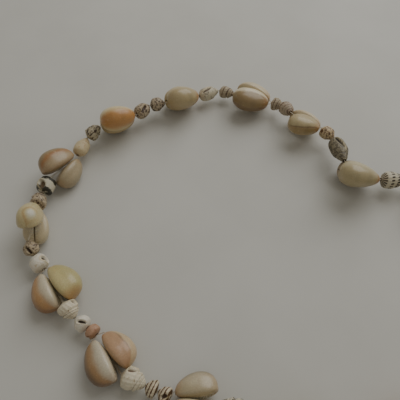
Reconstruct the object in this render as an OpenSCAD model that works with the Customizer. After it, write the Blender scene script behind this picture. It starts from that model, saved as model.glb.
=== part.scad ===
/* [Cowries] */
// Length of a cowrie whose share in the table is 1
cowrie_length = 27; // [25:0.5:28]
// Width of a cowrie, as a share of its length
cowrie_width_share = 0.66; // [0.62:0.01:0.7]
// Height of a cowrie's back above its base, as a share of its length
cowrie_back_share = 0.48; // [0.44:0.01:0.52]
// Bulge of the base at mid length
base_bulge = 2.2; // [1.8:0.1:2.6]
// Depth of the long mouth in the base
mouth_depth = 2.0; // [1:0.1:2.6]
// How far both ends curl up from the base
end_rise = 1.6; // [1.2:0.1:2]
// Diameter of the hole drilled through the narrow end
cowrie_bore_d = 1.3; // [1.1:0.1:1.4]

/* [Pairs] */
// Distance between the two cowries of a pair where they come closest
pair_gap = 0.3; // [0.2:0.05:0.6]
// Length of bare thread in front of the narrow ends
tip_gap = 2.2; // [2:0.1:2.6]

/* [Small shells] */
// Diameter of the hole drilled along a small shell
small_bore_d = 1.6; // [1.5:0.1:1.8]
// Space left at each end of a small shell
end_gap = 0.3; // [0.25:0.05:0.5]
// Radius of a small shell's ends, where they are ground flat
ground_r = 1.4; // [1.3:0.1:1.6]

/* [Thread] */
// Diameter of one strand
strand_d = 0.5; // [0.4:0.05:0.6]
// Distance between the two strands inside a small shell, centre to centre
strand_spacing = 0.7; // [0.65:0.05:0.8]
// Diameter of the knot
knot_d = 3.4; // [3:0.1:4]

/* [Hidden] */
COWRIE_COLOUR = "#d9b98a";
RIBBED_COLOUR = "#b9ab95";
SMOOTH_COLOUR = "#c9b693";
THREAD_COLOUR = "#e6dfcf";

// Pairs along the loop, each: place of its middle, heading from the narrow ends to the wide ones, roll
// that lifts the left cowrie, pitch, splay, size on the left and on the right, width, taper of the narrow
// end, then where the string leaves, as a share of the length, to the left and up, and last the outward
// bow of the string after it
X = 0;
Y = 1;
HEADING = 2;
ROLL = 3;
PITCH = 4;
SPLAY = 5;
LEFT = 6;
RIGHT = 7;
WIDE = 8;
TAPER = 9;
REACH = 10;
ASIDE = 11;
RAISE = 12;
BOW = 13;
PAIRS = [
    [110, 191, 168, 46, -6, 11, 1.10, 1.02, 0.86, 0.30, 0.88, 0, 7, 13.5],
    [78.5, 240.5, 157, 32, 2, 14, 0.88, 0.94, 0.98, 0.17, 0.95, 1, 6, 7],
    [41, 270, 160, 20, -3, 9, 1.06, 1.05, 0.92, 0.12, 0.99, 0, -2, 7],
    [-15, 266, 198, 48, -8, 7, 0.97, 0.94, 1.03, 0.15, 1.02, 0, -2, 9],
    [-63, 242, 199, 58, -2, 8, 0.98, 0.98, 1.04, 0.12, 1.01, 0, -2, 3],
    [-98, 198.5, 236, -36, -6, 8, 0.90, 0.99, 1.00, 0.15, 0.92, 0, -2, 0],
    [-108.5, 150.5, 275, -86, -8, 18, 0.86, 0.84, 1.08, 0.15, 1.00, 2, -2, 1],
    [-89, 109, 306, 8, -6, 2.5, 1.01, 0.98, 0.96, 0.20, 0.97, 0, 1, 2],
    [-51, 68, 306, 3, -6, 3.5, 0.92, 1.00, 0.96, 0.18, 0.96, 0, -2, -5],
    [-1, 45, 356, 0, -6, 9, 0.88, 0.98, 0.96, 0.15, 0.99, 0, -2, 0],
    [54, 28.8, 347, 20, -6, 5, 0.90, 0.98, 1.00, 0.15, 0.99, 0, -2, 0],
    [111, 28, 16, -12, -6, 9, 1.04, 0.98, 1.00, 0.15, 0.99, 0, -2, 2],
    [156, 62, 60, 22, -6, 9, 0.98, 1.00, 1.00, 0.15, 0.99, 0, -2, 2],
    [171, 118, 88, -8, -6, 9, 1.02, 1.04, 1.00, 0.15, 0.99, 0, -2, 2],
    [163, 171, 124, 15, -6, 9, 0.96, 1.00, 1.00, 0.15, 0.99, 0, -2, 4]
];

// What is strung after each pair: the pair, kind, width, share of the stretch, turn about the string,
// whether the mouth end is ahead (1) or behind (0)
PAIR = 0;
KIND = 1;
WIDTH = 2;
SHARE = 3;
TURN = 4;
AHEAD = 5;
WHELK = 0;
DOVE = 1;
NERITE = 2;
KNOT = 3;
STRUNG = [
    [0, DOVE, 12.1, 1.0, 85, 1],
    [0, DOVE, 10.1, 1.1, 40, 1],
    [1, WHELK, 10.6, 0.9, 0, 1],
    [1, WHELK, 10.1, 1.1, 60, 1],
    [2, WHELK, 9.6, 0.9, 20, 1],
    [2, DOVE, 10.6, 1.1, 90, 1],
    [3, DOVE, 10.6, 1.0, 30, 1],
    [3, DOVE, 11.1, 1.0, 120, 1],
    [4, WHELK, 10.6, 1.0, 45, 1],
    [4, DOVE, 10.6, 1.1, 200, 1],
    [5, NERITE, 12.1, 1.05, 80, 1],
    [5, WHELK, 11.1, 1.0, 30, 1],
    [6, DOVE, 10.1, 0.9, 80, 1],
    [6, NERITE, 11.6, 1.0, 150, 1],
    [7, WHELK, 12.1, 1.2, 20, 0],
    [7, DOVE, 10.1, 1.0, 90, 1],
    [7, NERITE, 9.1, 0.7, 0, 1],
    [8, WHELK, 12.6, 1.5, 40, 0],
    [8, WHELK, 10.1, 0.8, 0, 1],
    [8, WHELK, 9.6, 0.8, 70, 1],
    [9, WHELK, 10.6, 1.0, 10, 1],
    [9, DOVE, 10.1, 1.0, 60, 1],
    [10, DOVE, 10.6, 1.0, 30, 1],
    [10, WHELK, 10.1, 1.0, 75, 1],
    [11, NERITE, 11.1, 1.0, 0, 1],
    [11, KNOT, knot_d, 0.27, 0, 1],
    [11, WHELK, 10.6, 1.0, 50, 1],
    [12, WHELK, 10.6, 1.0, 90, 1],
    [12, DOVE, 10.6, 1.0, 15, 1],
    [13, DOVE, 10.1, 1.0, 45, 1],
    [13, NERITE, 10.6, 1.0, 0, 1],
    [14, DOVE, 10.6, 0.9, 45, 1],
    [14, WHELK, 12.1, 1.1, 0, 1]
];

// Turns, vectors and sums
function turn_x(a) = [[1, 0, 0], [0, cos(a), -sin(a)], [0, sin(a), cos(a)]];
function turn_y(a) = [[cos(a), 0, sin(a)], [0, 1, 0], [-sin(a), 0, cos(a)]];
function turn_z(a) = [[cos(a), -sin(a), 0], [sin(a), cos(a), 0], [0, 0, 1]];
function unit(v) = v / norm(v);
function square_to(v, run) = unit(v - (v * run) * run);
function mix(a, b, t) = a + (b - a) * t;
function sum(list, upto) = upto <= 0 ? 0 : list[upto - 1] + sum(list, upto - 1);
function bezier(p0, p1, p2, p3, t) =
    pow(1 - t, 3) * p0 + 3 * pow(1 - t, 2) * t * p1 + 3 * (1 - t) * t * t * p2 + t * t * t * p3;

// Cowrie in its own frame: X from the narrow end to the wide one, Y across, Z up its back, base at Z = 0
COWRIE_RINGS = 8;
ENDS_FULLNESS = 0.86;
// Half of a cross-section, from the ridge to the lip: across, back, base, mouth
HALF_SECTION = [
    [0.42, 0.93, 0, 0],
    [0.76, 0.70, 0, 0],
    [0.95, 0.36, 0, 0],
    [1.00, 0.05, 0, 0],
    [0.85, 0, 0.55, 0],
    [0.45, 0, 1.00, 0],
    [0.09, 0, 0.80, 0]
];
RIDGE = [0, 1, 0, 0];
MOUTH = [0, 0, 0.8, 1];
SECTION = concat(
    [RIDGE],
    HALF_SECTION,
    [MOUTH],
    [for (i = [len(HALF_SECTION) - 1:-1:0]) [-HALF_SECTION[i][0], HALF_SECTION[i][1], HALF_SECTION[i][2], 0]]
);
function fullness(a, taper) = pow(sin(a), ENDS_FULLNESS) * (1 - taper * cos(a));
function cowrie_ring(pair, length, a) = let(
        half_width = length * cowrie_width_share * pair[WIDE] / 2 * fullness(a, pair[TAPER]),
        back = length * cowrie_back_share * fullness(a, pair[TAPER]),
        lift = end_rise * (1 - sin(a)),
        bulge = base_bulge * sin(a),
        mouth = mouth_depth * sin(a)
    ) [for (s = SECTION) [
        length * (1 - cos(a)) / 2,
        half_width * s[0],
        lift + back * s[1] - bulge * s[2] + mouth * s[3]
    ]];
function cowrie_points(pair, side) = let(length = cowrie_length * pair[side > 0 ? LEFT : RIGHT]) concat(
    [[0, 0, end_rise]],
    [for (i = [1:COWRIE_RINGS]) each cowrie_ring(pair, length, 180 * i / (COWRIE_RINGS + 1))],
    [[length, 0, end_rise]]
);
function belt_faces(rings, sides, first) = [
    for (i = [0:rings - 2], j = [0:sides - 1]) let(
        a = first + i * sides + j,
        b = first + i * sides + (j + 1) % sides
    ) each [[a, b, b + sides], [a, b + sides, a + sides]]
];
function closed_faces(rings, sides) = let(last = rings * sides + 1) concat(
    [for (j = [0:sides - 1]) [0, 1 + (j + 1) % sides, 1 + j]],
    belt_faces(rings, sides, 1),
    [for (j = [0:sides - 1]) [last, last - sides + j, last - sides + (j + 1) % sides]]
);

// A pair in its own frame: X along the string from the narrow ends, Y to the left, Z up
BORE_START = [-3, 0, 4.0];
BORE_END = [7.2, 0, -1.3];
function splay_turn(pair, side) = let(a = pair[SPLAY]) side > 0
    ? [[cos(a), 0, -sin(a)], [sin(a), 0, cos(a)], [0, -1, 0]]
    : [[cos(a), 0, -sin(a)], [-sin(a), 0, -cos(a)], [0, 1, 0]];
function splayed(pair, side) = let(m = splay_turn(pair, side)) [for (p = cowrie_points(pair, side)) m * p];
function spread_by(pair, side) = pair_gap / 2 - min([for (p = splayed(pair, side)) side * p.y]);
function in_pair(pair, side, p) = splay_turn(pair, side) * p + [0, side * spread_by(pair, side), 0];
function pair_turn(pair) = turn_z(pair[HEADING]) * turn_y(pair[PITCH]) * turn_x(pair[ROLL]);
function pair_middle(pair) = cowrie_length / 2 * (pair[LEFT] + pair[RIGHT]) / 2;
function pair_height(pair) = let(m = pair_turn(pair), middle = pair_middle(pair)) -min([
    for (side = [-1, 1], p = cowrie_points(pair, side))
        (m * (in_pair(pair, side, p) - [middle, 0, 0])).z
]);
HEIGHTS = [for (pair = PAIRS) pair_height(pair)];
// The origin is the middle of the loop's extent
REACHES = [for (pair = PAIRS, side = [-1, 1], p = cowrie_points(pair, side))
    pair_turn(pair) * (in_pair(pair, side, p) - [pair_middle(pair), 0, 0]) + [pair[X], pair[Y], 0]];
LOOP_MIDDLE = [for (axis = [X, Y]) let(reached = [for (p = REACHES) p[axis]])
    mix(min(reached), max(reached), 0.5)];
function pair_place(i) = [PAIRS[i][X] - LOOP_MIDDLE[X], PAIRS[i][Y] - LOOP_MIDDLE[Y], HEIGHTS[i]];
function placed(i, p) = let(pair = PAIRS[i])
    pair_turn(pair) * (p - [pair_middle(pair), 0, 0]) + pair_place(i);

// Where the string enters a pair, and where it leaves between the wide ends
function string_in(i) = placed(i, [-tip_gap, 0, 0]);
function string_out(i) = let(pair = PAIRS[i])
    placed(i, [2 * pair_middle(pair) * pair[REACH], pair[ASIDE], pair[RAISE]]);
function next(i) = (i + 1) % len(PAIRS);
function along(i) = let(h = PAIRS[i][HEADING]) [cos(h), sin(h), 0];
function outward(i) = let(h = PAIRS[i][HEADING]) [sin(h), -cos(h), 0];

// The string between a pair and the next: it sags until the shells beside a joint rest, or as far as it can
SAG = 0.8;
function in_gap(i) = [for (s = STRUNG) if (s[PAIR] == i) s];
function gap_point(i, t) = let(
        a = string_out(i),
        b = string_in(next(i)),
        reach = norm(b - a) / 3,
        bow = PAIRS[i][BOW]
    ) bezier(a, a + reach * along(i) + bow * outward(i),
        b - reach * along(next(i)) + bow * outward(next(i)), b, t);
FLOOR_GAP = 0.1;
function rest_height(strung, k) = max(strung[k - 1][WIDTH], strung[k][WIDTH]) / 2 + FLOOR_GAP;
function gap_joints(i) = let(
        strung = in_gap(i),
        shares = [for (s = strung) s[SHARE]],
        total = sum(shares, len(shares)),
        high = mix(string_out(i).z, string_in(next(i)).z, 0.5)
    ) [for (k = [0:len(strung)]) let(p = gap_point(i, sum(shares, k) / total))
        k == 0 || k == len(strung) ? p : [p.x, p.y, max(rest_height(strung, k), SAG * high)]];
JOINTS = [for (i = [0:len(PAIRS) - 1]) gap_joints(i)];
// Where the string bends at a joint, the ends beside it stand back by their shoulders, and beside a pair
// by a little
SHOULDER = 1.6;
PAIR_SHOULDER = 0.25;
function joint_bend(joints, k) = acos(unit(joints[k] - joints[k - 1]) * unit(joints[k + 1] - joints[k]));
function end_space(i, k) = let(joints = JOINTS[i])
    end_gap + (k == 0 || k == len(joints) - 1 ? PAIR_SHOULDER : SHOULDER * tan(joint_bend(joints, k) / 2));

// Small shells: rings from the mouth end to the tip of the spire: share of the length, share of the radius
WHELK_RINGS = [[0.06, 0.54], [0.16, 0.92], [0.34, 1.0], [0.50, 0.95], [0.58, 0.80], [0.69, 0.82],
    [0.81, 0.62], [0.93, 0.40]];
DOVE_RINGS = [[0.06, 0.55], [0.19, 0.91], [0.42, 1.0], [0.62, 0.94], [0.73, 0.76], [0.92, 0.44]];
NERITE_RINGS = [[0.05, 0.62], [0.20, 0.95], [0.50, 1.0], [0.78, 0.92], [0.95, 0.62]];
RINGS = [WHELK_RINGS, DOVE_RINGS, NERITE_RINGS];
SMALL_SIDES = 10;
WHORL_LEAN = 0.05;
MOUTH_DENT = 0.72;
LIP_SWELL = 1.05;
MOUTH_END = 0.65;
function dent(t, j) = t > MOUTH_END ? 1 : j == 0 ? MOUTH_DENT : j == 1 ? LIP_SWELL : 1;
function small_ring(length, radius, t, share) = [for (j = [0:SMALL_SIDES - 1]) let(
        a = -360 * j / SMALL_SIDES,
        r = max(radius * share * dent(t, j), ground_r)
    ) [length * (t + WHORL_LEAN * 4 * t * (1 - t) * cos(a)), r * cos(a), r * sin(a)]];
function ground_ring(x) = [for (j = [0:SMALL_SIDES - 1]) let(a = -360 * j / SMALL_SIDES)
    [x, ground_r * cos(a), ground_r * sin(a)]];
function small_points(kind, length, radius) = concat(
    ground_ring(0),
    [for (row = RINGS[kind]) each small_ring(length, radius, row[0], row[1])],
    ground_ring(length)
);
function small_faces(kind) = let(rings = len(RINGS[kind]) + 2) concat(
    [[for (j = [SMALL_SIDES - 1:-1:0]) j]],
    belt_faces(rings, SMALL_SIDES, 0),
    [[for (j = [0:SMALL_SIDES - 1]) (rings - 1) * SMALL_SIDES + j]]
);

// Strands: both pass every small shell side by side, and at each pair each passes the cowrie on its own side
STRAND_SIDES = 5;
// The strand's bends before and behind the drilled hole, along X in the cowrie's frame
BEND_IN = -0.9;
BEND_OUT = 4.5;
function on_bore(x) = mix(BORE_START, BORE_END, (x - BORE_START.x) / (BORE_END.x - BORE_START.x));
function joint_run(i, k) = let(
        joints = JOINTS[i],
        last = len(joints) - 1,
        before = k > 0 ? joints[k - 1] : placed(i, [pair_middle(PAIRS[i]), 0, 0]),
        after = k < last ? joints[k + 1] : 2 * joints[last] - joints[last - 1]
    ) unit(unit(after - joints[k]) + unit(joints[k] - before));
function joint_across(i, k) = let(
        run = joint_run(i, k),
        roll = mix(PAIRS[i][ROLL], PAIRS[next(i)][ROLL], k / (len(JOINTS[i]) - 1))
    ) square_to(turn_z(atan2(run.y, run.x)) * turn_x(roll) * [0, 1, 0], run);
// Points of a strand, each with a direction square to the strand that stays on the same side of it
function strand_in_pair(i, side) = let(pair = PAIRS[i], up = pair_turn(pair) * [0, 0, 1]) concat(
    [for (x = [BEND_IN, BEND_OUT]) [placed(i, in_pair(pair, side, on_bore(x))), up]],
    [[placed(i, [pair_middle(pair), side * strand_spacing / 2, 0]), up]]
);
function strand_in_gap(i, side) = [for (k = [0:len(JOINTS[i]) - 1]) let(across = joint_across(i, k))
    [JOINTS[i][k] + side * strand_spacing / 2 * across, cross(joint_run(i, k), across)]];
function strand_path(side) = [
    for (i = [0:len(PAIRS) - 1]) each concat(strand_in_pair(i, side), strand_in_gap(i, side))
];
function strand_ring(path, n) = let(
        count = len(path),
        here = path[n][0],
        run = unit(unit(path[(n + 1) % count][0] - here) + unit(here - path[(n + count - 1) % count][0])),
        up = square_to(path[n][1], run),
        across = cross(up, run)
    ) [for (j = [0:STRAND_SIDES - 1]) let(a = 360 * j / STRAND_SIDES)
        here + strand_d / 2 * (cos(a) * up + sin(a) * across)];
function strand_faces(count) = [
    for (n = [0:count - 1], j = [0:STRAND_SIDES - 1]) let(
        a = n * STRAND_SIDES + j,
        b = n * STRAND_SIDES + (j + 1) % STRAND_SIDES,
        c = (n + 1) % count * STRAND_SIDES + (j + 1) % STRAND_SIDES,
        d = (n + 1) % count * STRAND_SIDES + j
    ) each [[a, b, c], [a, c, d]]
];

// Names of the cowries, numbered along the loop
SIDES = [1, -1];
function cowrie_name(i, side) = str("cowrie_", i < 9 ? "0" : "", i + 1, side > 0 ? "_left" : "_right");

module along_line(a, b) {
    d = b - a;
    translate(a)
        rotate([0, -asin(d.z / norm(d)), atan2(d.y, d.x)])
            children();
}

module thread_hole(length) {
    translate([-1, 0, 0])
        rotate([0, 90, 0])
            cylinder(h = length + 2, d = small_bore_d, $fn = 24);
}

module small_shell(i, k) {
    shell = in_gap(i)[k];
    mouth = k + shell[AHEAD];
    tip = k + 1 - shell[AHEAD];
    length = norm(JOINTS[i][tip] - JOINTS[i][mouth]) - end_space(i, mouth) - end_space(i, tip);
    along_line(JOINTS[i][mouth], JOINTS[i][tip])
        translate([end_space(i, mouth), 0, 0])
            rotate([shell[TURN], 0, 0])
                difference() {
                    polyhedron(small_points(shell[KIND], length, shell[WIDTH] / 2), small_faces(shell[KIND]));
                    thread_hole(length);
                }
}

module small_shells(kinds) {
    for (i = [0:len(PAIRS) - 1]) {
        strung = in_gap(i);
        for (k = [0:len(strung) - 1])
            if (len([for (kind = kinds) if (kind == strung[k][KIND]) kind]) > 0)
                small_shell(i, k);
    }
}

module ribbed_shells() {
    color(RIBBED_COLOUR) small_shells([WHELK]);
}

module smooth_shells() {
    color(SMOOTH_COLOUR) small_shells([DOVE, NERITE]);
}

module cowrie(i, side) {
    pair = PAIRS[i];
    bore = BORE_END - BORE_START;
    color(COWRIE_COLOUR)
        translate(pair_place(i))
            rotate([0, 0, pair[HEADING]])
                rotate([0, pair[PITCH], 0])
                    rotate([pair[ROLL], 0, 0])
                        translate([-pair_middle(pair), side * spread_by(pair, side), 0])
                            rotate([-90 * side, 0, side * pair[SPLAY]])
                                difference() {
                                    polyhedron(cowrie_points(pair, side),
                                        closed_faces(COWRIE_RINGS, len(SECTION)));
                                    translate(BORE_START)
                                        rotate([0, 90 + atan2(-bore.z, bore.x), 0])
                                            cylinder(h = norm(bore), d = cowrie_bore_d, $fn = 24);
                                }
}

module strand(side) {
    path = strand_path(side);
    color(THREAD_COLOUR)
        polyhedron([for (n = [0:len(path) - 1]) each strand_ring(path, n)], strand_faces(len(path)));
}

module thread_knot() {
    color(THREAD_COLOUR)
        for (i = [0:len(PAIRS) - 1]) {
            strung = in_gap(i);
            for (k = [0:len(strung) - 1])
                if (strung[k][KIND] == KNOT)
                    translate((JOINTS[i][k] + JOINTS[i][k + 1]) / 2)
                        along_line([0, 0, 0], JOINTS[i][k + 1] - JOINTS[i][k])
                            difference() {
                                rotate([0, 90, 0])
                                    sphere(d = knot_d, $fn = 32);
                                translate([-knot_d / 2, 0, 0])
                                    thread_hole(knot_d);
                            }
        }
}

for (i = [0:len(PAIRS) - 1], side = SIDES)
    cowrie(i, side);
ribbed_shells();
smooth_shells();
strand(1);  // thread_left
strand(-1);  // thread_right
thread_knot();
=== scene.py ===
"""Looks of the shell necklace: detailed shells, thread, floor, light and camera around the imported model."""

import math
from collections import namedtuple

import bpy
import numpy as np
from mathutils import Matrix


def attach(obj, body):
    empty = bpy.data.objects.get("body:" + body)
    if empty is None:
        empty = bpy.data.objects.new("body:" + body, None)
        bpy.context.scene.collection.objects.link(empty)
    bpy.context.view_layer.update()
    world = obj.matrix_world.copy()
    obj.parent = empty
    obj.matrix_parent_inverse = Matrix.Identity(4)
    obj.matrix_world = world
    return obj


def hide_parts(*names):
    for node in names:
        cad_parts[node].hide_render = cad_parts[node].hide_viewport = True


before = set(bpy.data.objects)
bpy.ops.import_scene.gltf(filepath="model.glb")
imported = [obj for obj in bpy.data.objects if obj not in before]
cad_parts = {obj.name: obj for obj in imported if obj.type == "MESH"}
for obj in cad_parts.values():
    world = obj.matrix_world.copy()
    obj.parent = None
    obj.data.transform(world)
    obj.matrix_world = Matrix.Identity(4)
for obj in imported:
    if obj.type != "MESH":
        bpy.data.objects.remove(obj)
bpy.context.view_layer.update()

MM = 0.001

# The same named values as in the part's source, in millimetres
COWRIE_LENGTH = 27
COWRIE_WIDTH_SHARE = 0.66
COWRIE_BACK_SHARE = 0.48
BASE_BULGE = 2.2
MOUTH_DEPTH = 2.0
END_RISE = 1.6
COWRIE_BORE_D = 1.3
PAIR_GAP = 0.3
TIP_GAP = 2.2
SMALL_BORE_D = 1.6
END_GAP = 0.3
GROUND_R = 1.4
STRAND_D = 0.5
STRAND_SPACING = 0.7
KNOT_D = 3.4

# Pairs along the loop, each: place of its middle, counted from the point below the camera, heading from the
# narrow ends to the wide ones, roll that lifts the left cowrie, pitch, splay, size left and right, width,
# taper, where the string leaves, as a share of the length, to the left and up, and its outward bow
X, Y, HEADING, ROLL, PITCH, SPLAY, LEFT, RIGHT, WIDE, TAPER, REACH, ASIDE, RAISE, BOW = range(14)
PAIRS = [
    [110, 191, 168, 46, -6, 11, 1.1, 1.02, 0.86, 0.3, 0.88, 0, 7, 13.5],
    [78.5, 240.5, 157, 32, 2, 14, 0.88, 0.94, 0.98, 0.17, 0.95, 1, 6, 7],
    [41, 270, 160, 20, -3, 9, 1.06, 1.05, 0.92, 0.12, 0.99, 0, -2, 7],
    [-15, 266, 198, 48, -8, 7, 0.97, 0.94, 1.03, 0.15, 1.02, 0, -2, 9],
    [-63, 242, 199, 58, -2, 8, 0.98, 0.98, 1.04, 0.12, 1.01, 0, -2, 3],
    [-98, 198.5, 236, -36, -6, 8, 0.9, 0.99, 1, 0.15, 0.92, 0, -2, 0],
    [-108.5, 150.5, 275, -86, -8, 18, 0.86, 0.84, 1.08, 0.15, 1, 2, -2, 1],
    [-89, 109, 306, 8, -6, 2.5, 1.01, 0.98, 0.96, 0.2, 0.97, 0, 1, 2],
    [-51, 68, 306, 3, -6, 3.5, 0.92, 1, 0.96, 0.18, 0.96, 0, -2, -5],
    [-1, 45, 356, 0, -6, 9, 0.88, 0.98, 0.96, 0.15, 0.99, 0, -2, 0],
    [54, 28.8, 347, 20, -6, 5, 0.9, 0.98, 1, 0.15, 0.99, 0, -2, 0],
    [111, 28, 16, -12, -6, 9, 1.04, 0.98, 1, 0.15, 0.99, 0, -2, 2],
    [156, 62, 60, 22, -6, 9, 0.98, 1, 1, 0.15, 0.99, 0, -2, 2],
    [171, 118, 88, -8, -6, 9, 1.02, 1.04, 1, 0.15, 0.99, 0, -2, 2],
    [163, 171, 124, 15, -6, 9, 0.96, 1, 1, 0.15, 0.99, 0, -2, 4],
]

# What is strung after each pair: the pair, kind, width, share of the stretch, turn about the string,
# whether the mouth end is ahead (1) or behind (0), and its look
PAIR, KIND, WIDTH, SHARE, TURN, AHEAD, LOOK = range(7)
WHELK, DOVE, NERITE, KNOT = range(4)
STRUNG = [
    [0, DOVE, 12.1, 1, 85, 1, "slate"],
    [0, DOVE, 10.1, 1.1, 40, 1, "rust"],
    [1, WHELK, 10.6, 0.9, 0, 1, "rose"],
    [1, WHELK, 10.1, 1.1, 60, 1, "grey"],
    [2, WHELK, 9.6, 0.9, 20, 1, "grey"],
    [2, DOVE, 10.6, 1.1, 90, 1, "patch"],
    [3, DOVE, 10.6, 1, 30, 1, "mottled"],
    [3, DOVE, 11.1, 1, 120, 1, "mottled"],
    [4, WHELK, 10.6, 1, 45, 1, "streaked"],
    [4, DOVE, 10.6, 1.1, 200, 1, "cream"],
    [5, NERITE, 12.1, 1.05, 80, 1, "banded"],
    [5, WHELK, 11.1, 1, 30, 1, "brown"],
    [6, DOVE, 10.1, 0.9, 80, 1, "brown"],
    [6, NERITE, 11.6, 1, 150, 1, "white"],
    [7, WHELK, 12.1, 1.2, 20, 0, "worn"],
    [7, DOVE, 10.1, 1, 90, 1, "white"],
    [7, NERITE, 9.1, 0.7, 0, 1, "pink"],
    [8, WHELK, 12.6, 1.5, 40, 0, "chalk"],
    [8, WHELK, 10.1, 0.8, 0, 1, "ringed"],
    [8, WHELK, 9.6, 0.8, 70, 1, "ringed"],
    [9, WHELK, 10.6, 1, 10, 1, "dotted"],
    [9, DOVE, 10.1, 1, 60, 1, "mottled"],
    [10, DOVE, 10.6, 1, 30, 1, "cream"],
    [10, WHELK, 10.1, 1, 75, 1, "dotted"],
    [11, NERITE, 11.1, 1, 0, 1, "white"],
    [11, KNOT, KNOT_D, 0.27, 0, 1, "knot"],
    [11, WHELK, 10.6, 1, 50, 1, "brown"],
    [12, WHELK, 10.6, 1, 90, 1, "streaked"],
    [12, DOVE, 10.6, 1, 15, 1, "rust"],
    [13, DOVE, 10.1, 1, 45, 1, "mottled"],
    [13, NERITE, 10.6, 1, 0, 1, "pink"],
    [14, DOVE, 10.6, 0.9, 45, 1, "patch"],
    [14, WHELK, 12.1, 1.1, 0, 1, "dotted"],
]

COWRIE_RINGS = 8
ENDS_FULLNESS = 0.86
# The lip beside the mouth: how far across it lies and how far the base bulges there
LIP = 0.09
LIP_BULGE = 0.8
# Half of a cross-section, from the ridge to the lip: across, back, base
HALF_SECTION = [
    [0.42, 0.93, 0],
    [0.76, 0.7, 0],
    [0.95, 0.36, 0],
    [1, 0.05, 0],
    [0.85, 0, 0.55],
    [0.45, 0, 1],
    [LIP, 0, LIP_BULGE],
]
RIDGE = [0, 1, 0]
MOUTH = [0, 0, LIP_BULGE]
SECTION = np.array([RIDGE] + HALF_SECTION + [MOUTH] + [[-a, b, c] for a, b, c in HALF_SECTION[::-1]])
BORE_START = np.array([-3, 0, 4.0])
BORE_END = np.array([7.2, 0, -1.3])
SAG = 0.8
SHOULDER = 1.6
PAIR_SHOULDER = 0.25
FLOOR_GAP = 0.1
WHORL_LEAN = 0.05
BEND_IN = -0.9
BEND_OUT = 4.5


# Turns, vectors and soft edges
norm = np.linalg.norm


def turn(axis, degrees):
    """Rotation matrix about X (0), Y (1) or Z (2)."""
    c, s = math.cos(math.radians(degrees)), math.sin(math.radians(degrees))
    return np.array(
        [
            [[1, 0, 0], [0, c, -s], [0, s, c]],
            [[c, 0, s], [0, 1, 0], [-s, 0, c]],
            [[c, -s, 0], [s, c, 0], [0, 0, 1]],
        ][axis]
    )


def unit(v):
    return np.asarray(v, float) / norm(v)


def square_to(v, run):
    return unit(v - np.dot(v, run) * run)


def mix(a, b, t):
    return a + (b - a) * t


def smooth(edge0, edge1, value):
    t = np.clip((value - edge0) / (edge1 - edge0), 0, 1)
    return t * t * (3 - 2 * t)


def between(value, rise, fall):
    """1 between two soft edges, each given by its start and its end, and 0 outside them."""
    return smooth(*rise, value) * (1 - smooth(*fall, value))


def bell(value, middle, width):
    return np.exp(-(((value - middle) / width) ** 2))


# Form of the cowries
def length_of(pair, side):
    return COWRIE_LENGTH * pair[LEFT if side > 0 else RIGHT]


def fullness(angles, taper):
    return np.sin(angles) ** ENDS_FULLNESS * (1 - taper * np.cos(angles))


def half_width(pair, side, angles):
    return length_of(pair, side) * COWRIE_WIDTH_SHARE * pair[WIDE] / 2 * fullness(angles, pair[TAPER])


def back_height(pair, side, angles):
    return length_of(pair, side) * COWRIE_BACK_SHARE * fullness(angles, pair[TAPER])


def cowrie_grid(pair, side, angles, section):
    """Points of a cowrie in its own frame: a row for each angle, a column for each row of the section."""
    across, back, base = section.T
    rise = np.sin(angles)[:, None]
    x = length_of(pair, side) * (1 - np.cos(angles))[:, None] / 2 + 0 * across
    y = half_width(pair, side, angles)[:, None] * across
    z = END_RISE * (1 - rise) + back_height(pair, side, angles)[:, None] * back - BASE_BULGE * rise * base
    return np.stack([x, y, z], 2)


def source_points(pair, side):
    """The corners of the solid, which settle where the pair lies."""
    angles = np.pi * np.arange(1, COWRIE_RINGS + 1) / (COWRIE_RINGS + 1)
    grid = cowrie_grid(pair, side, angles, SECTION)
    grid[:, len(SECTION) // 2, 2] += MOUTH_DEPTH * np.sin(angles)
    ends = [[0, 0, END_RISE], [length_of(pair, side), 0, END_RISE]]
    return np.concatenate([grid.reshape(-1, 3), ends])


# Placing of the pairs
def splay_turn(pair, side):
    c, s = math.cos(math.radians(pair[SPLAY])), math.sin(math.radians(pair[SPLAY]))
    return np.array([[c, 0, -s], [side * s, 0, side * c], [0, -side, 0]])


def spread_by(pair, side):
    return PAIR_GAP / 2 - (side * (source_points(pair, side) @ splay_turn(pair, side).T)[:, 1]).min()


def in_pair(pair, side, points):
    """Points of a cowrie in its pair's frame: X along the string, Y to the left, Z up."""
    return np.asarray(points) @ splay_turn(pair, side).T + [0, side * spread_by(pair, side), 0]


def pair_turn(pair):
    return turn(2, pair[HEADING]) @ turn(1, pair[PITCH]) @ turn(0, pair[ROLL])


def pair_middle(pair):
    return COWRIE_LENGTH / 2 * (pair[LEFT] + pair[RIGHT]) / 2


def reaches(pair):
    both = np.concatenate([in_pair(pair, side, source_points(pair, side)) for side in (-1, 1)])
    return (both - [pair_middle(pair), 0, 0]) @ pair_turn(pair).T


REACHES = [reaches(pair) for pair in PAIRS]
EXTENT = np.concatenate([reach[:, :2] + [pair[X], pair[Y]] for reach, pair in zip(REACHES, PAIRS)])
# The origin is the middle of the loop's extent
LOOP_MIDDLE = (EXTENT.min(0) + EXTENT.max(0)) / 2
PLACES = [
    np.array([pair[X] - LOOP_MIDDLE[X], pair[Y] - LOOP_MIDDLE[Y], -reach[:, 2].min()])
    for reach, pair in zip(REACHES, PAIRS)
]


def placed(i, points):
    """Points of a pair's frame in the frame of the whole necklace."""
    pair = PAIRS[i]
    return (np.asarray(points, float) - [pair_middle(pair), 0, 0]) @ pair_turn(pair).T + PLACES[i]


# The string between the pairs
def string_in(i):
    return placed(i, [-TIP_GAP, 0, 0])


def string_out(i):
    pair = PAIRS[i]
    return placed(i, [2 * pair_middle(pair) * pair[REACH], pair[ASIDE], pair[RAISE]])


def after(i):
    return (i + 1) % len(PAIRS)


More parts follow.
